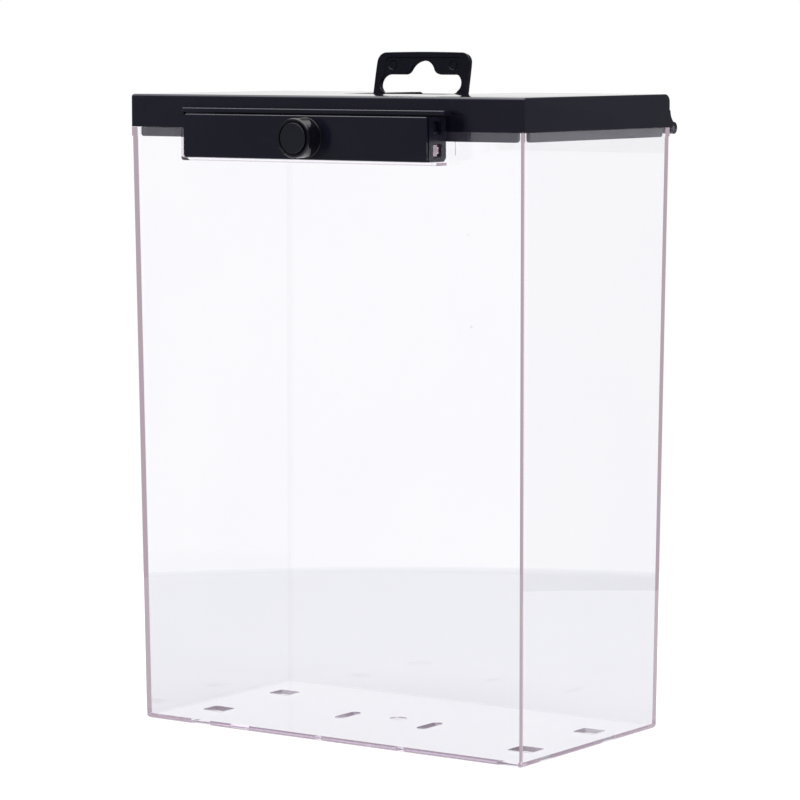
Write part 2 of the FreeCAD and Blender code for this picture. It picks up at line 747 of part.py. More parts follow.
def make_label_cover_screws():
    screws = []
    for x in (-cover_screw_x, cover_screw_x):
        shank = rod_z(cover_bottom, cover_top + cover_screw_reach, x, label_y, cover_screw_radius)
        head_low = cover_bottom - cover_screw_head
        head = rod_z(head_low, cover_bottom, x, label_y, cover_screw_head_radius)
        slot = block(x - cover_screw_head_radius, x + cover_screw_head_radius,
                     label_y - screw_slot_width / 2, label_y + screw_slot_width / 2,
                     head_low, head_low + screw_slot_depth)
        screws.append(shank.fuse(head.cut(slot)).removeSplitter())
    return Part.makeCompound(screws)


pieces = {
    "tub": make_tub(),
    "lid": make_lid(),
    "hinge_pin": make_hinge_pin(),
    "hang_tab": make_hang_tab(),
    "hang_tab_pin": make_hang_tab_pin(),
    "lock_housing": make_lock_housing(),
    "lock_cover": make_lock_cover(),
    "lock_screws": make_lock_screws(),
    "boss_sleeve": make_boss_sleeve(),
    "boss_cap": make_boss_cap(),
    "plunger_guide": make_plunger_guide(),
    "plunger": make_plunger(),
    "plunger_spring": make_plunger_spring(),
    "label_adhesive": label_layer(label_length, label_width, tray_top, label_ceiling),
    "label_tray": make_label_tray(),
    "label_strips": make_label_strips(),
    "label_film": label_layer(label_length, label_width, magnet_top, film_top),
    "label_magnet": label_layer(magnet_length, magnet_width, cover_top, magnet_top),
    "label_cover": make_label_cover(),
    "label_cover_screws": make_label_cover_screws(),
}

os.makedirs("parts", exist_ok=True)
for name, shape in pieces.items():
    shape.exportStep("parts/" + name + ".step")
    print(name, "solids", len(shape.Solids), "valid", shape.isValid(), "volume", round(shape.Volume, 2))
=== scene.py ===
import bmesh
import bpy
import json
import math
import numpy as np
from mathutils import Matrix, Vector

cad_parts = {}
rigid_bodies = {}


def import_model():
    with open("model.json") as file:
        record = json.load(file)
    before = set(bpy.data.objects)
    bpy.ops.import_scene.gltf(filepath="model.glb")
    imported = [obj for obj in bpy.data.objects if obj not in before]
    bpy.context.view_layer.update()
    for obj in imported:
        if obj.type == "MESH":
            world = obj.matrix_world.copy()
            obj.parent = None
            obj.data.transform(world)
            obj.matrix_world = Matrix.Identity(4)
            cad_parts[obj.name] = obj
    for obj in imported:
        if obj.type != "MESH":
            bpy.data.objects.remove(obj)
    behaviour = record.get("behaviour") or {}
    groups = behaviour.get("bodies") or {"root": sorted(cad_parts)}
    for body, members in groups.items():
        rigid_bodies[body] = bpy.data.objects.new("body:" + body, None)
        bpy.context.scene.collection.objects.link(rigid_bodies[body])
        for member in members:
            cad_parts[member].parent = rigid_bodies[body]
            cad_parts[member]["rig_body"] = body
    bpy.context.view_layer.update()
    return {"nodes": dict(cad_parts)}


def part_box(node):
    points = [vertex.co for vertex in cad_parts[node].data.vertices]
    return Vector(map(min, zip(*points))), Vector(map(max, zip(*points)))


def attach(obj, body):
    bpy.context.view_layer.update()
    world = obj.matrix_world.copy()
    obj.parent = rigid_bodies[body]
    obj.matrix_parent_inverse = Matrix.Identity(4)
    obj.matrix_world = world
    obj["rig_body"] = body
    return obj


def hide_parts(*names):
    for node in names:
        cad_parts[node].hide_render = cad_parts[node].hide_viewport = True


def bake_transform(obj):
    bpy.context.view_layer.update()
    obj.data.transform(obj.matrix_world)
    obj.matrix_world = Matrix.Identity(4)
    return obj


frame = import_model()
nodes = frame["nodes"]
scene = bpy.context.scene
scene.view_settings.view_transform = "Standard"
print("frame loaded:", len(nodes), "nodes")


# a node with its settings, and its inputs given as numbers, colours or other nodes' sockets
def place(tree, kind, settings=None, inputs=None):
    node = tree.nodes.new(kind)
    for name, value in (settings or {}).items():
        setattr(node, name, value)
    for name, value in (inputs or {}).items():
        if isinstance(value, bpy.types.NodeSocket):
            tree.links.new(value, node.inputs[name])
        else:
            node.inputs[name].default_value = value
    return node


# a shader node group with its named sockets; returns the tree, its input sockets and its output node
def startGroup(name, takes, gives):
    tree = bpy.data.node_groups.new(name, "ShaderNodeTree")
    for label, kind, value in takes:
        socket = tree.interface.new_socket(label, in_out="INPUT", socket_type=kind)
        if value is not None:
            socket.default_value = value
    for label, kind in gives:
        tree.interface.new_socket(label, in_out="OUTPUT", socket_type=kind)
    source = tree.nodes.new("NodeGroupInput")
    sink = tree.nodes.new("NodeGroupOutput")
    return tree, source.outputs, sink


def math2(tree, operation, first, second):
    return place(tree, "ShaderNodeMath", {"operation": operation}, {0: first, 1: second}).outputs[0]


def spread(tree, value, low, high, toLow=0.0, toHigh=1.0):
    inputs = {"Value": value, "From Min": low, "From Max": high, "To Min": toLow, "To Max": toHigh}
    return place(tree, "ShaderNodeMapRange", {"clamp": True}, inputs).outputs["Result"]


def within(tree, value, low, high):
    above = math2(tree, "GREATER_THAN", value, low)
    return math2(tree, "MULTIPLY", above, math2(tree, "LESS_THAN", value, high))


# fine moulded grain: Height is small noise, Patch is slow noise from 0 to 1
grainShape = {"grain": 2400.0, "patches": 40.0, "fine": {"Detail": 2.0, "Roughness": 0.6},
              "slow": {"Detail": 4.0, "Roughness": 0.55}, "patchEdge": (0.3, 0.7)}


def makeMouldGrain(look):
    tree, given, sink = startGroup(
        "mouldGrain",
        [("Coords", "NodeSocketVector", None), ("Grain", "NodeSocketFloat", look["grain"]),
         ("Patches", "NodeSocketFloat", look["patches"])],
        [("Height", "NodeSocketFloat"), ("Patch", "NodeSocketFloat")])
    fine = place(tree, "ShaderNodeTexNoise", None,
                 {"Vector": given["Coords"], "Scale": given["Grain"], **look["fine"]})
    slow = place(tree, "ShaderNodeTexNoise", None,
                 {"Vector": given["Coords"], "Scale": given["Patches"], **look["slow"]})
    tree.links.new(fine.outputs["Fac"], sink.inputs["Height"])
    tree.links.new(spread(tree, slow.outputs["Fac"], *look["patchEdge"]), sink.inputs["Patch"])
    return tree


# handling marks: thin lines along two slants, kept only where a slow noise is high
markShape = {"fineness": 900.0, "slants": ((0.35, 0.03), (-0.8, 0.05)), "lean": 0.6, "lineDetail": 1.0,
             "lineEdge": (0.69, 0.74), "where": {"Scale": 28.0, "Detail": 2.0}, "whereEdge": (0.5, 0.7)}


def makeHandlingMarks(look):
    tree, given, sink = startGroup(
        "handlingMarks",
        [("Coords", "NodeSocketVector", None), ("Fineness", "NodeSocketFloat", look["fineness"])],
        [("Mask", "NodeSocketFloat")])
    lines = []
    for turn, stretch in look["slants"]:
        slant = place(tree, "ShaderNodeMapping", None, {
            "Vector": given["Coords"], "Rotation": (turn, turn * look["lean"], turn),
            "Scale": (stretch, 1.0, 1.0)})
        thin = place(tree, "ShaderNodeTexNoise", None, {
            "Vector": slant.outputs["Vector"], "Scale": given["Fineness"], "Detail": look["lineDetail"]})
        lines.append(spread(tree, thin.outputs["Fac"], *look["lineEdge"]))
    where = place(tree, "ShaderNodeTexNoise", None, {"Vector": given["Coords"], **look["where"]})
    both = math2(tree, "MAXIMUM", lines[0], lines[1])
    kept = math2(tree, "MULTIPLY", both, spread(tree, where.outputs["Fac"], *look["whereEdge"]))
    tree.links.new(kept, sink.inputs["Mask"])
    return tree


# dust: a speck at the centre of some cells of a Voronoi pattern, chosen by the cell's own colour
dustShape = {"cells": 120.0, "size": 0.06, "share": 0.2}


def makeDust(look):
    tree, given, sink = startGroup(
        "dust",
        [("Coords", "NodeSocketVector", None), ("Cells", "NodeSocketFloat", look["cells"]),
         ("Size", "NodeSocketFloat", look["size"]), ("Share", "NodeSocketFloat", look["share"])],
        [("Mask", "NodeSocketFloat")])
    cells = place(tree, "ShaderNodeTexVoronoi", None, {"Vector": given["Coords"], "Scale": given["Cells"]})
    pick = place(tree, "ShaderNodeSeparateColor", None, {"Color": cells.outputs["Color"]})
    chosen = math2(tree, "LESS_THAN", pick.outputs["Red"], given["Share"])
    reach = math2(tree, "MULTIPLY", given["Size"], pick.outputs["Green"])
    speck = math2(tree, "LESS_THAN", cells.outputs["Distance"], reach)
    tree.links.new(math2(tree, "MULTIPLY", chosen, speck), sink.inputs["Mask"])
    return tree


mouldGrain = makeMouldGrain(grainShape)
handlingMarks = makeHandlingMarks(markShape)
dust = makeDust(dustShape)
print("shared effects made")


# an empty material with its output, Principled shader and Object coordinates
def startMaterial(name):
    material = bpy.data.materials.new(name)
    material.use_nodes = True
    tree = material.node_tree
    tree.nodes.clear()
    shader = tree.nodes.new("ShaderNodeBsdfPrincipled")
    output = tree.nodes.new("ShaderNodeOutputMaterial")
    tree.links.new(shader.outputs["BSDF"], output.inputs["Surface"])
    coords = tree.nodes.new("ShaderNodeTexCoord").outputs["Object"]
    return material, tree, shader, coords


def effect(tree, group, **inputs):
    return place(tree, "ShaderNodeGroup", {"node_tree": group}, inputs).outputs


def mixColour(tree, share, first, second):
    node = place(tree, "ShaderNodeMix", {"data_type": "RGBA"}, {"Factor": share})
    for index, colour in ((6, first), (7, second)):
        if isinstance(colour, bpy.types.NodeSocket):
            tree.links.new(colour, node.inputs[index])
        else:
            node.inputs[index].default_value = (*colour, 1.0)
    return node.outputs[2]


def addBump(tree, shader, height, strength, distance):
    bump = place(tree, "ShaderNodeBump", None, {"Height": height, "Strength": strength, "Distance": distance})
    tree.links.new(bump.outputs["Normal"], shader.inputs["Normal"])


# moulded plastic that isn't clear: two close tones in patches, grain, rubbed lines and dust, with painted
# light below a height where a look asks for it
def mouldedPlastic(name, look):
    material, tree, shader, coords = startMaterial(name)
    grain = effect(tree, mouldGrain, Coords=coords, Grain=look["grain"], Patches=look["patches"])
    rubbed = effect(tree, handlingMarks, Coords=coords, Fineness=look["lines"])["Mask"]
    specks = effect(tree, dust, Coords=coords, Cells=look["dustCells"], Size=look["dustSize"],
                    Share=look["dustShare"])["Mask"]
    tone = mixColour(tree, grain["Patch"], look["deep"], look["pale"])
    tone = mixColour(tree, math2(tree, "MULTIPLY", rubbed, look["rubShow"]), tone, look["rubTone"])
    height = place(tree, "ShaderNodeSeparateXYZ", None, {0: coords}).outputs["Z"]
    # painted light: below a height the tone is lifted towards a pale blue-grey, standing in for the light and
    # reflections seen on the lid's ribs through the tub
    if "ribLiftBelow" in look:
        ribPaintedLight = spread(tree, height, *look["ribLiftBelow"], look["ribLiftShow"], 0.0)
        tone = mixColour(tree, ribPaintedLight, tone, look["ribPaintedLightTone"])
    tone = mixColour(tree, math2(tree, "MULTIPLY", specks, look["dustShow"]), tone, look["dustTone"])
    tree.links.new(tone, shader.inputs["Base Color"])
    rough = spread(tree, grain["Patch"], 0.0, 1.0, look["roughLow"], look["roughHigh"])
    if "polishAbove" in look:
        polish = spread(tree, height, *look["polishAbove"], 1.0, look["polish"])
        rough = math2(tree, "MULTIPLY", rough, polish)
    rough = math2(tree, "ADD", rough, math2(tree, "MULTIPLY", rubbed, look["rubRough"]))
    tree.links.new(rough, shader.inputs["Roughness"])
    shader.inputs["Specular IOR Level"].default_value = look["shine"]
    shader.inputs["Specular Tint"].default_value = (*look["glint"], 1.0)
    shader.inputs["IOR"].default_value = look["ior"]
    addBump(tree, shader, grain["Height"], look["bump"], look["bumpDepth"])
    return material


satinBlackLook = {
    "deep": (0.0074, 0.0070, 0.0152), "pale": (0.0100, 0.0096, 0.0190), "grain": 2600.0, "patches": 34.0,
    "lines": 700.0, "rubShow": 0.10, "rubTone": (0.06, 0.06, 0.07), "rubRough": 0.10,
    "dustCells": 150.0, "dustSize": 0.06, "dustShare": 0.05, "dustShow": 0.35, "dustTone": (0.35, 0.35, 0.37),
    "roughLow": 0.18, "roughHigh": 0.24, "shine": 0.5, "ior": 1.5, "bump": 0.05, "bumpDepth": 0.00004,
    "glint": (0.945, 0.930, 1.0),
}
# the lid's top is polished, and its ribs inside the tub are lightened by painted light
lidBlackLook = {
    **satinBlackLook, "polishAbove": (0.2133, 0.2138), "polish": 0.35,
    "ribLiftBelow": (0.2026, 0.2029), "ribLiftShow": 0.85, "ribPaintedLightTone": (0.068, 0.066, 0.090),
}
coverBlackLook = {
    **satinBlackLook, "deep": (0.0060, 0.0058, 0.0134), "pale": (0.0082, 0.0080, 0.0166),
    "roughLow": 0.11, "roughHigh": 0.15, "grain": 3400.0, "bump": 0.02,
}
tabBlackLook = {
    **satinBlackLook, "deep": (0.0030, 0.0029, 0.0078), "pale": (0.0042, 0.0040, 0.0098),
    "roughLow": 0.20, "roughHigh": 0.27, "shine": 0.30,
}
glossBlackLook = {
    **satinBlackLook, "deep": (0.0030, 0.0030, 0.0050), "pale": (0.0042, 0.0042, 0.0066),
    "roughLow": 0.05, "roughHigh": 0.07, "grain": 3000.0, "bump": 0.01, "dustShare": 0.03, "shine": 0.38,
}
capBlackLook = {
    **satinBlackLook, "deep": (0.0052, 0.0052, 0.0110), "pale": (0.0070, 0.0070, 0.0135),
    "roughLow": 0.34, "roughHigh": 0.42, "grain": 3800.0, "bump": 0.08,
}
whitePlasticLook = {
    **satinBlackLook, "glint": (1.0, 1.0, 1.0), "deep": (0.72, 0.72, 0.69), "pale": (0.80, 0.80, 0.77),
    "rubTone": (0.62, 0.62, 0.6), "dustTone": (0.4, 0.4, 0.38), "roughLow": 0.34, "roughHigh": 0.46,
}
filmLook = {
    **whitePlasticLook, "deep": (0.74, 0.74, 0.68), "pale": (0.82, 0.82, 0.76),
    "roughLow": 0.12, "roughHigh": 0.2, "grain": 900.0, "bump": 0.04,
}
adhesiveLook = {
    **whitePlasticLook, "deep": (0.62, 0.59, 0.48), "pale": (0.74, 0.71, 0.60),
    "roughLow": 0.7, "roughHigh": 0.85, "grain": 1500.0, "bump": 0.5, "shine": 0.3,
}


# steel: streaks of noise drawn out along one axis, over a slow change of tone
def drawnSteel(name, look):
    material, tree, shader, coords = startMaterial(name)
    drawn = place(tree, "ShaderNodeMapping", None, {"Vector": coords, "Scale": look["along"]})
    streak = place(tree, "ShaderNodeTexNoise", None,
                   {"Vector": drawn.outputs["Vector"], "Scale": look["streaks"],
                    "Detail": look["streakDetail"]}).outputs["Fac"]
    patch = effect(tree, mouldGrain, Coords=coords, Grain=look["streaks"], Patches=look["patches"])["Patch"]
    tone = mixColour(tree, streak, look["deep"], look["pale"])
    tone = mixColour(tree, math2(tree, "MULTIPLY", patch, look["stain"]), tone, look["stainTone"])
    tree.links.new(tone, shader.inputs["Base Color"])
    rough = spread(tree, streak, *look["streakEdge"], look["roughLow"], look["roughHigh"])
    tree.links.new(rough, shader.inputs["Roughness"])
    shader.inputs["Metallic"].default_value = 1.0
    addBump(tree, shader, streak, look["bump"], look["bumpDepth"])
    return material


wireLook = {
    "along": (0.06, 1.0, 1.0), "streaks": 1800.0, "streakDetail": 3.0, "streakEdge": (0.25, 0.75),
    "patches": 60.0, "deep": (0.48, 0.47, 0.47), "pale": (0.70, 0.69, 0.69), "stain": 0.25,
    "stainTone": (0.40, 0.38, 0.36), "roughLow": 0.22, "roughHigh": 0.36, "bump": 0.12, "bumpDepth": 0.00004,
}
boltLook = {**wireLook, "along": (1.0, 0.06, 1.0)}
platedLook = {
    **wireLook, "along": (1.0, 1.0, 0.2), "deep": (0.46, 0.46, 0.48), "pale": (0.62, 0.62, 0.64),
    "stain": 0.3, "stainTone": (0.52, 0.50, 0.42), "roughLow": 0.28, "roughHigh": 0.4,
}
ribbonLook = {
    **wireLook, "along": (0.03, 1.0, 1.0), "deep": (0.60, 0.60, 0.62), "pale": (0.74, 0.74, 0.76),
    "roughLow": 0.14,
}
magnetLook = {
    **wireLook, "deep": (0.10, 0.095, 0.09), "pale": (0.19, 0.18, 0.175), "stainTone": (0.14, 0.10, 0.08),
    "roughLow": 0.4, "roughHigh": 0.55,
}


# clear plastic: light is taken up along its way through the wall, and a painted mauve glow is given off where
# a ray's glossy depth is four;
# the ledge's front edges get a painted mauve shade and the walls of the floor's holes a painted dark shade
def clearPlastic(name, look):
    material, tree, shader, coords = startMaterial(name)
    grain = effect(tree, mouldGrain, Coords=coords, Grain=look["ripple"], Patches=look["patches"])
    rubbed = effect(tree, handlingMarks, Coords=coords, Fineness=look["lines"])["Mask"]
    specks = effect(tree, dust, Coords=coords, Cells=look["dustCells"], Size=look["dustSize"],
                    Share=look["dustShare"])["Mask"]
    tone = mixColour(tree, grain["Patch"], look["deep"], look["pale"])
    at = place(tree, "ShaderNodeSeparateXYZ", None, {0: coords}).outputs
    # painted shade: the front edges of the stop and the shelf lip are tinted mauve-grey in the base colour,
    # standing in for their shaded edge look
    stop = spread(tree, at["X"], *look["stopEdge"], 1.0, 0.0)
    lip = spread(tree, at["Z"], *look["shelfEdge"], 1.0, 0.0)
    front = spread(tree, at["Y"], *look["ledgeFront"], 1.0, 0.0)
    ledge = math2(tree, "MULTIPLY", math2(tree, "MAXIMUM", stop, lip), front)
    tone = mixColour(tree, ledge, tone, look["ledgePaintedShade"])
    # painted shade: the walls of the floor's holes are darkened in the base colour for rays whose glossy
    # depth is zero; their added roughness is real, from the cut walls
    reach = place(tree, "ShaderNodeVectorMath", {"operation": "LENGTH"}, {0: coords}).outputs["Value"]
    cut = within(tree, at["Z"], *look["cutHeight"])
    for axis, bound in (("X", look["cutX"]), ("Y", look["cutY"])):
        cut = math2(tree, "MULTIPLY", cut, within(tree, at[axis], -bound, bound))
    cut = math2(tree, "MULTIPLY", cut, math2(tree, "GREATER_THAN", reach, look["cutFrom"]))
    path = tree.nodes.new("ShaderNodeLightPath")
    straight = math2(tree, "LESS_THAN", path.outputs["Glossy Depth"], look["cutTurns"])
    cut = math2(tree, "MULTIPLY", cut, straight)
    tone = mixColour(tree, cut, tone, look["holeWallPaintedShade"])
    tone = mixColour(tree, math2(tree, "MULTIPLY", specks, look["dustShow"]), tone, look["dustTone"])
    tree.links.new(tone, shader.inputs["Base Color"])
    rough = math2(tree, "MULTIPLY", math2(tree, "MAXIMUM", rubbed, specks), look["rubRough"])
    rough = math2(tree, "MAXIMUM", rough, math2(tree, "MULTIPLY", cut, look["cutRough"]))
    tree.links.new(rough, shader.inputs["Roughness"])
    shader.inputs["Transmission Weight"].default_value = 1.0
    shader.inputs["IOR"].default_value = look["ior"]
    shader.inputs["Specular IOR Level"].default_value = look["shine"]
    addBump(tree, shader, grain["Height"], look["bump"], look["bumpDepth"])
    # painted light: a mauve emission is added where a ray's glossy depth is four, standing in for the mauve
    # look of the wall's edges
    paintedEdgeGlow = place(tree, "ShaderNodeMath", {"operation": "COMPARE"},
                 {0: path.outputs["Glossy Depth"], 1: look["heldTurns"], 2: look["heldSlack"]}).outputs[0]
    tree.links.new(mixColour(tree, paintedEdgeGlow, (0.0, 0.0, 0.0), look["paintedEdgeGlow"]), shader.inputs["Emission Color"])
    shader.inputs["Emission Strength"].default_value = 1.0
    output = tree.get_output_node("ALL")
    clear = place(tree, "ShaderNodeBsdfTransparent", None, {"Color": (*look["shadow"], 1.0)})
    lets = place(tree, "ShaderNodeMixShader", None, {0: path.outputs["Is Shadow Ray"]})
    tree.links.new(shader.outputs["BSDF"], lets.inputs[1])
    tree.links.new(clear.outputs["BSDF"], lets.inputs[2])
    tree.links.new(lets.outputs["Shader"], output.inputs["Surface"])
    takenUp = place(tree, "ShaderNodeVolumeAbsorption", None,
                    {"Color": (*look["edge"], 1.0), "Density": look["density"]})
    tree.links.new(takenUp.outputs["Volume"], output.inputs["Volume"])
    return material


tubLook = {
    "ripple": 60.0, "patches": 14.0, "lines": 500.0, "dustCells": 70.0, "dustSize": 0.035, "dustShare": 0.12,
    "dustShow": 0.5, "dustTone": (0.55, 0.53, 0.56),
    "deep": (0.974, 0.975, 0.991), "pale": (0.983, 0.984, 0.993),
    # the hole walls' colour on this line is painted shade, and their roughness is real
    "rubRough": 0.12, "cutRough": 0.25, "holeWallPaintedShade": (0.25, 0.225, 0.265), "cutHeight": (0.0001, 0.0016),
    "cutX": 0.0755, "cutY": 0.0400, "cutFrom": 0.006, "cutTurns": 0.5, "ior": 1.49, "shine": 0.5,
    "bump": 0.01, "bumpDepth": 0.0002,
    "shadow": (0.93, 0.93, 0.94), "edge": (0.80, 0.74, 0.84), "density": 22.0,
    # the glow colour on the next line is painted light, and the ledge colour after it is painted shade
    "heldTurns": 4.0, "heldSlack": 0.5, "paintedEdgeGlow": (0.51, 0.42, 0.46), "ledgePaintedShade": (0.62, 0.54, 0.60),
    "stopEdge": (-0.0521, -0.0517), "shelfEdge": (0.19240, 0.19255), "ledgeFront": (-0.0475, -0.0465),
}

finishes = {
    "clearTub": (clearPlastic, tubLook, ["tub"]),
    "lidBlack": (mouldedPlastic, lidBlackLook, ["lid"]),
    "satinBlack": (mouldedPlastic, satinBlackLook, ["lock_housing", "label_cover"]),
    "coverBlack": (mouldedPlastic, coverBlackLook, ["lock_cover"]),
    "tabBlack": (mouldedPlastic, tabBlackLook, ["hang_tab"]),
    "glossBlack": (mouldedPlastic, glossBlackLook, ["boss_sleeve"]),
    "capBlack": (mouldedPlastic, capBlackLook, ["boss_cap"]),
    "steelWire": (drawnSteel, wireLook, ["hinge_pin", "hang_tab_pin"]),
    "steelBolt": (drawnSteel, boltLook, ["plunger", "plunger_spring"]),
    "platedScrew": (drawnSteel, platedLook, ["lock_screws", "label_cover_screws"]),
    "whitePlastic": (mouldedPlastic, whitePlasticLook, ["plunger_guide", "label_tray"]),
    "alloyRibbon": (drawnSteel, ribbonLook, ["label_strips"]),
    "laminateFilm": (mouldedPlastic, filmLook, ["label_film"]),
    "foamAdhesive": (mouldedPlastic, adhesiveLook, ["label_adhesive"]),
    "magnetSteel": (drawnSteel, magnetLook, ["label_magnet"]),
}
for finishName, (make, look, wearers) in finishes.items():
    material = make(finishName, look)
    for wearer in wearers:
        for materialSlot in nodes[wearer].material_slots:
            materialSlot.material = material


# a node's copy, merged and smooth within an angle; sharp edges above a height may be broken by a small bevel
edgeLook = {
    "lid": {}, "lock_housing": {}, "lock_cover": {}, "label_cover": {},
    "hang_tab": {"bevel": 0.00022, "above": 0.2150},
}
smoothWithin = math.radians(28.0)
flatWithin = math.radians(0.5)
weld = 0.000002
bevelSteps = 2


def smoothCopy(nodeName, bevel=0.0, above=0.0):
    node = nodes[nodeName]
    shape = bmesh.new()
    shape.from_mesh(node.data)
    bmesh.ops.remove_doubles(shape, verts=shape.verts, dist=weld)
    bmesh.ops.dissolve_limit(shape, angle_limit=flatWithin, verts=shape.verts, edges=shape.edges)
    weight = shape.edges.layers.float.new("bevel_weight_edge")
    for face in shape.faces:
        face.smooth = True
    for edge in shape.edges:
        edge.smooth = edge.is_manifold and edge.calc_face_angle(0.0) < smoothWithin
        edge[weight] = 0.0 if edge.smooth or min(corner.co.z for corner in edge.verts) < above else 1.0
    mesh = bpy.data.meshes.new(nodeName + "Moulded")
    shape.to_mesh(mesh)
    shape.free()
    mesh.materials.append(node.material_slots[0].material)
    piece = bpy.data.objects.new(nodeName + "Moulded", mesh)
    scene.collection.objects.link(piece)
    if bevel:
        broken = piece.modifiers.new("brokenEdge", "BEVEL")
        broken.limit_method = "WEIGHT"
        broken.width = bevel
        broken.segments = bevelSteps
        broken.use_clamp_overlap = False
        broken.harden_normals = True
    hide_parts(nodeName)
    return piece


for nodeName, look in edgeLook.items():
    moulded = smoothCopy(nodeName, **look)
    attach(moulded, nodes[nodeName]["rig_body"])

# the coil spring between the boss's seat and the plunger's head: a smooth copy with its place baked in
coil = smoothCopy("plunger_spring")
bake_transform(coil)


# the boss: a closed profile of depth d and radius r turned about the boss's axis,
# x = cx + r cos a, y = front + d, z = cz + r sin a; round corners are arcs of eight steps
bossLook = {"spokes": 160, "lip": 0.00045, "rim": 0.0007, "foot": 0.00028, "grooveDepth": 0.0008,
            "groove": 0.0055, "seat": 0.0016, "capFit": 0.00498, "chamber": 0.0036, "plate": 0.0009}
capLook = {"spokes": 128, "edge": 0.00022, "dish": 0.00005}
turnedWeld = 0.000001
arcPoints = 9


def turned(name, profile, spokes, nodeName):
    low, high = (np.array(corner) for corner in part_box(nodeName))
    cx, cz = (low[0] + high[0]) / 2, (low[2] + high[2]) / 2
    d, r = np.array(profile).T
    a = np.linspace(0.0, 2 * math.pi, spokes, endpoint=False)
    r, d = r[:, None], d[:, None]
    points = np.stack([cx + r * np.cos(a), low[1] + d + 0 * a, cz + r * np.sin(a)], -1)
    row, spoke = np.meshgrid(np.arange(len(d)), np.arange(spokes), indexing="ij")
    nextRow, nextSpoke = (row + 1) % len(d), (spoke + 1) % spokes
    faces = np.stack([row * spokes + spoke, row * spokes + nextSpoke,
                      nextRow * spokes + nextSpoke, nextRow * spokes + spoke], -1).reshape(-1, 4)
    mesh = bpy.data.meshes.new(name)
    mesh.from_pydata(points.reshape(-1, 3).tolist(), [], faces.tolist())
    shape = bmesh.new()
    shape.from_mesh(mesh)
    bmesh.ops.remove_doubles(shape, verts=shape.verts, dist=turnedWeld)
    bmesh.ops.recalc_face_normals(shape, faces=shape.faces)
    for face in shape.faces:
        face.smooth = True
    for edge in shape.edges:
        edge.smooth = edge.calc_face_angle(0.0) < smoothWithin
    shape.to_mesh(mesh)
    shape.free()
    piece = bpy.data.objects.new(name, mesh)
    scene.collection.objects.link(piece)
    mesh.materials.append(nodes[nodeName].material_slots[0].material)
    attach(piece, nodes[nodeName]["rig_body"])
    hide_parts(nodeName)


# points of an arc about (d, r) from one angle to another, 0 along +d and a quarter turn along +r
def arc(d, r, radius, start, end):
    a = np.radians(np.linspace(start, end, arcPoints))
    return np.stack([d + radius * np.cos(a), r + radius * np.sin(a)], -1).tolist()


sleeveLow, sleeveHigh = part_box("boss_sleeve")
sleeveRadius, sleeveLength = (sleeveHigh[0] - sleeveLow[0]) / 2, sleeveHigh[1] - sleeveLow[1]
lip, rim, foot = bossLook["lip"], bossLook["rim"], bossLook["foot"]
plateTop = sleeveLength - bossLook["plate"]
turned("bossSleeveTurned", [
    (bossLook["seat"], bossLook["chamber"]), (bossLook["seat"], bossLook["capFit"]),
    (bossLook["grooveDepth"], bossLook["capFit"]), (bossLook["grooveDepth"], bossLook["groove"]),
    *arc(lip / 2, bossLook["groove"] + lip / 2, lip / 2, 270, 180),
    *arc(rim, sleeveRadius - rim, rim, 180, 90),
    *arc(plateTop - foot, sleeveRadius + foot, foot, 270, 360),
    (sleeveLength, sleeveRadius), (sleeveLength, bossLook["chamber"]),
], bossLook["spokes"], "boss_sleeve")
capLow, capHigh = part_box("boss_cap")
capRadius, capDepth = (capHigh[0] - capLow[0]) / 2, capHigh[1] - capLow[1]
capEdge = capLook["edge"]
turned("bossCapTurned", [
    (capLook["dish"], 0.0), (0.0, capRadius - 2 * capEdge),
    *arc(capEdge, capRadius - capEdge, capEdge, 180, 90), (capDepth, capRadius), (capDepth, 0.0),
], capLook["spokes"], "boss_cap")
print("moulded copies:", len(edgeLook), "and the coil; boss turned")
print("finishes given to", sum(len(wearers) for make, look, wearers in finishes.values()), "nodes")


# a flat round floor: radius and angle run over a grid, x = r cos a, y = r sin a; seen through the tub it is
# darkened by painted shade, less so at its rim, with a painted light lift under the tub, and from below it is
# clear
floorLook = {"radius": 0.3685, "rings": 24, "spokes": 96, "drop": 0.0004, "glow": 0.82, "shade": 0.30,
             "throughPaintedShade": 0.275, "rimPaintedShade": 0.16, "fade": 0.02, "throughTint": (0.982, 0.986, 1.020),
             "underX": 0.0766, "underY": 0.0414, "underTubPaintedLift": 0.05, "colour": (0.86, 0.86, 0.87)}


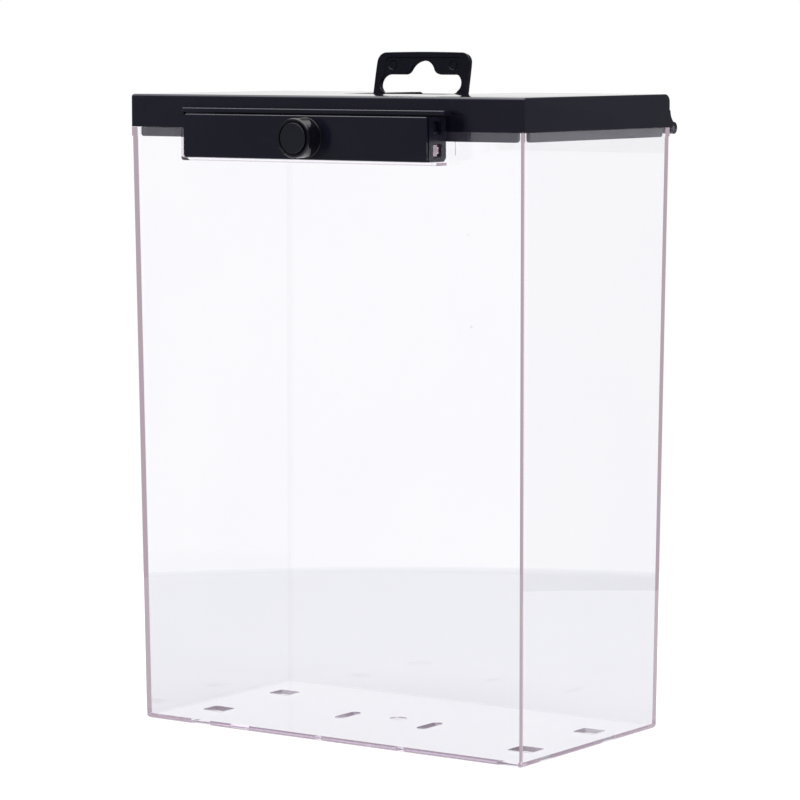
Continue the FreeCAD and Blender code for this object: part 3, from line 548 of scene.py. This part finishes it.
def makeFloor(look):
    r, a = np.meshgrid(np.linspace(0.0, look["radius"], look["rings"]),
                       np.linspace(0.0, 2 * math.pi, look["spokes"], endpoint=False), indexing="ij")
    points = np.stack([r * np.cos(a), r * np.sin(a), np.full_like(r, -look["drop"])], -1).reshape(-1, 3)
    ring, spoke = np.meshgrid(np.arange(look["rings"] - 1), np.arange(look["spokes"]), indexing="ij")
    after = (spoke + 1) % look["spokes"]
    faces = np.stack([ring * look["spokes"] + spoke, (ring + 1) * look["spokes"] + spoke,
                      (ring + 1) * look["spokes"] + after, ring * look["spokes"] + after], -1).reshape(-1, 4)
    mesh = bpy.data.meshes.new("floor")
    mesh.from_pydata(points.tolist(), [], faces.tolist())
    floor = bpy.data.objects.new("floor", mesh)
    scene.collection.objects.link(floor)
    material = bpy.data.materials.new("paleFloor")
    material.use_nodes = True
    tree = material.node_tree
    tree.nodes.clear()
    path = tree.nodes.new("ShaderNodeLightPath").outputs
    through = path["Is Transmission Ray"]
    seen = math2(tree, "MAXIMUM", path["Is Glossy Ray"], through)
    seen = math2(tree, "MAXIMUM", path["Is Camera Ray"], seen)
    coords = tree.nodes.new("ShaderNodeTexCoord").outputs["Object"]
    reach = place(tree, "ShaderNodeVectorMath", {"operation": "LENGTH"}, {0: coords}).outputs["Value"]
    # painted shade for rays through the tub: the floor is dimmed by radius, and a painted light lift under
    # the tub takes some of the dimming away
    dimmed = spread(tree, reach, look["radius"] - look["fade"], look["radius"],
                    look["throughPaintedShade"], look["rimPaintedShade"])
    spot = place(tree, "ShaderNodeSeparateXYZ", None, {0: coords}).outputs
    under = math2(tree, "MULTIPLY", within(tree, spot["X"], -look["underX"], look["underX"]),
                  within(tree, spot["Y"], -look["underY"], look["underY"]))
    dimmed = math2(tree, "SUBTRACT", dimmed, math2(tree, "MULTIPLY", under, look["underTubPaintedLift"]))
    level = math2(tree, "SUBTRACT", look["glow"], math2(tree, "MULTIPLY", through, dimmed))
    glow = place(tree, "ShaderNodeEmission", None, {"Strength": level})
    tint = mixColour(tree, through, (1.0, 1.0, 1.0), look["throughTint"])
    tree.links.new(tint, glow.inputs["Color"])
    shade = place(tree, "ShaderNodeBsdfDiffuse", None, {"Color": (look["shade"],) * 3 + (1.0,)})
    both = tree.nodes.new("ShaderNodeAddShader")
    tree.links.new(glow.outputs[0], both.inputs[0])
    tree.links.new(shade.outputs[0], both.inputs[1])
    plain = place(tree, "ShaderNodeBsdfDiffuse", None, {"Color": (*look["colour"], 1.0)})
    pick = place(tree, "ShaderNodeMixShader", None, {0: seen})
    tree.links.new(plain.outputs[0], pick.inputs[1])
    tree.links.new(both.outputs[0], pick.inputs[2])
    below = tree.nodes.new("ShaderNodeNewGeometry").outputs["Backfacing"]
    oneSided = place(tree, "ShaderNodeMixShader", None, {0: below})
    tree.links.new(pick.outputs[0], oneSided.inputs[1])
    tree.links.new(tree.nodes.new("ShaderNodeBsdfTransparent").outputs[0], oneSided.inputs[2])
    output = tree.nodes.new("ShaderNodeOutputMaterial")
    tree.links.new(oneSided.outputs[0], output.inputs["Surface"])
    mesh.materials.append(material)


makeFloor(floorLook)

# white where it is seen and softer where it lights; reflections find a dim room, a white backdrop,
# a softbox overhead and a pale floor
worldLook = {"fill": 0.55, "fillColour": (0.97, 0.98, 1.0), "through": 1.055, "room": 0.20, "backdrop": 1.0,
             "backdropAim": (-0.573, 0.820, 0.0), "backdropEdge": (0.90, 0.96), "softbox": 3.6,
             "softboxEdge": (0.55, 0.80), "ground": 0.75, "groundEdge": (-0.75, -0.30)}


def makeWorld(look):
    world = bpy.data.worlds.new("studio")
    scene.world = world
    world.use_nodes = True
    tree = world.node_tree
    tree.nodes.clear()
    path = tree.nodes.new("ShaderNodeLightPath").outputs
    aim = tree.nodes.new("ShaderNodeTexCoord").outputs["Generated"]
    z = place(tree, "ShaderNodeSeparateXYZ", None, {0: aim}).outputs["Z"]
    facing = place(tree, "ShaderNodeVectorMath", {"operation": "DOT_PRODUCT"},
                   {0: aim, 1: look["backdropAim"]}).outputs["Value"]
    room = look["room"]
    backdrop = spread(tree, facing, *look["backdropEdge"], room, look["backdrop"])
    ground = spread(tree, z, *look["groundEdge"], look["ground"], room)
    softbox = spread(tree, z, *look["softboxEdge"], room, look["softbox"])
    mirrored = math2(tree, "MAXIMUM", softbox, math2(tree, "MAXIMUM", backdrop, ground))
    white = (1.0, 1.0, 1.0, 1.0)
    layers = [({"Color": (*look["fillColour"], 1.0), "Strength": look["fill"]}, None),
              ({"Color": white, "Strength": mirrored}, path["Is Glossy Ray"]),
              ({"Color": white, "Strength": look["through"]}, path["Is Transmission Ray"]),
              ({"Color": white, "Strength": 1.0}, path["Is Camera Ray"])]
    shown = None
    for inputs, share in layers:
        layer = place(tree, "ShaderNodeBackground", None, inputs).outputs[0]
        shown = layer if shown is None else place(
            tree, "ShaderNodeMixShader", None, {0: share, 1: shown, 2: layer}).outputs[0]
    output = tree.nodes.new("ShaderNodeOutputWorld")
    tree.links.new(shown, output.inputs["Surface"])


makeWorld(worldLook)

lampLooks = {
    "leftSoftbox": {"at": (-0.9, -0.9, 0.75), "to": (0.0, 0.0, 0.12), "size": 0.8, "power": 9.0},
    "rightSoftbox": {"at": (1.25, -0.2, 0.6), "to": (0.0, 0.0, 0.12), "size": 0.7, "power": 6.0},
    "topSoftbox": {"at": (0.0, 0.2, 1.3), "to": (0.0, 0.0, 0.2), "size": 0.9, "power": 8.0},
}
for lampName, look in lampLooks.items():
    lamp = bpy.data.lights.new(lampName, "AREA")
    lamp.size = look["size"]
    lamp.energy = look["power"]
    holder = bpy.data.objects.new(lampName, lamp)
    scene.collection.objects.link(holder)
    aim = np.array(look["to"]) - np.array(look["at"])
    yaw = math.atan2(aim[1], aim[0]) - math.pi / 2
    pitch = math.atan2(aim[2], math.hypot(aim[0], aim[1])) + math.pi / 2
    holder.location = look["at"]
    holder.rotation_euler = (pitch, 0.0, yaw)
    holder.visible_camera = False
    holder.visible_transmission = False
    holder.visible_glossy = False
print("stage lit by", len(lampLooks), "softboxes")

cameraLook = {"at": (0.69322, -0.99108, 0.23212), "turn": (84.261, 0.05, 34.957), "lens": 161.75,
              "sensor": 36.0, "shiftX": 0.0004, "shiftY": 0.0006, "far": 50.0}
cameraData = bpy.data.cameras.new("photoView")
cameraData.sensor_width = cameraLook["sensor"]
cameraData.lens = cameraLook["lens"]
cameraData.shift_x = cameraLook["shiftX"]
cameraData.shift_y = cameraLook["shiftY"]
cameraData.clip_end = cameraLook["far"]
camera = bpy.data.objects.new("photoView", cameraData)
scene.collection.objects.link(camera)
camera.location = cameraLook["at"]
camera.rotation_euler = [math.radians(angle) for angle in cameraLook["turn"]]
scene.camera = camera
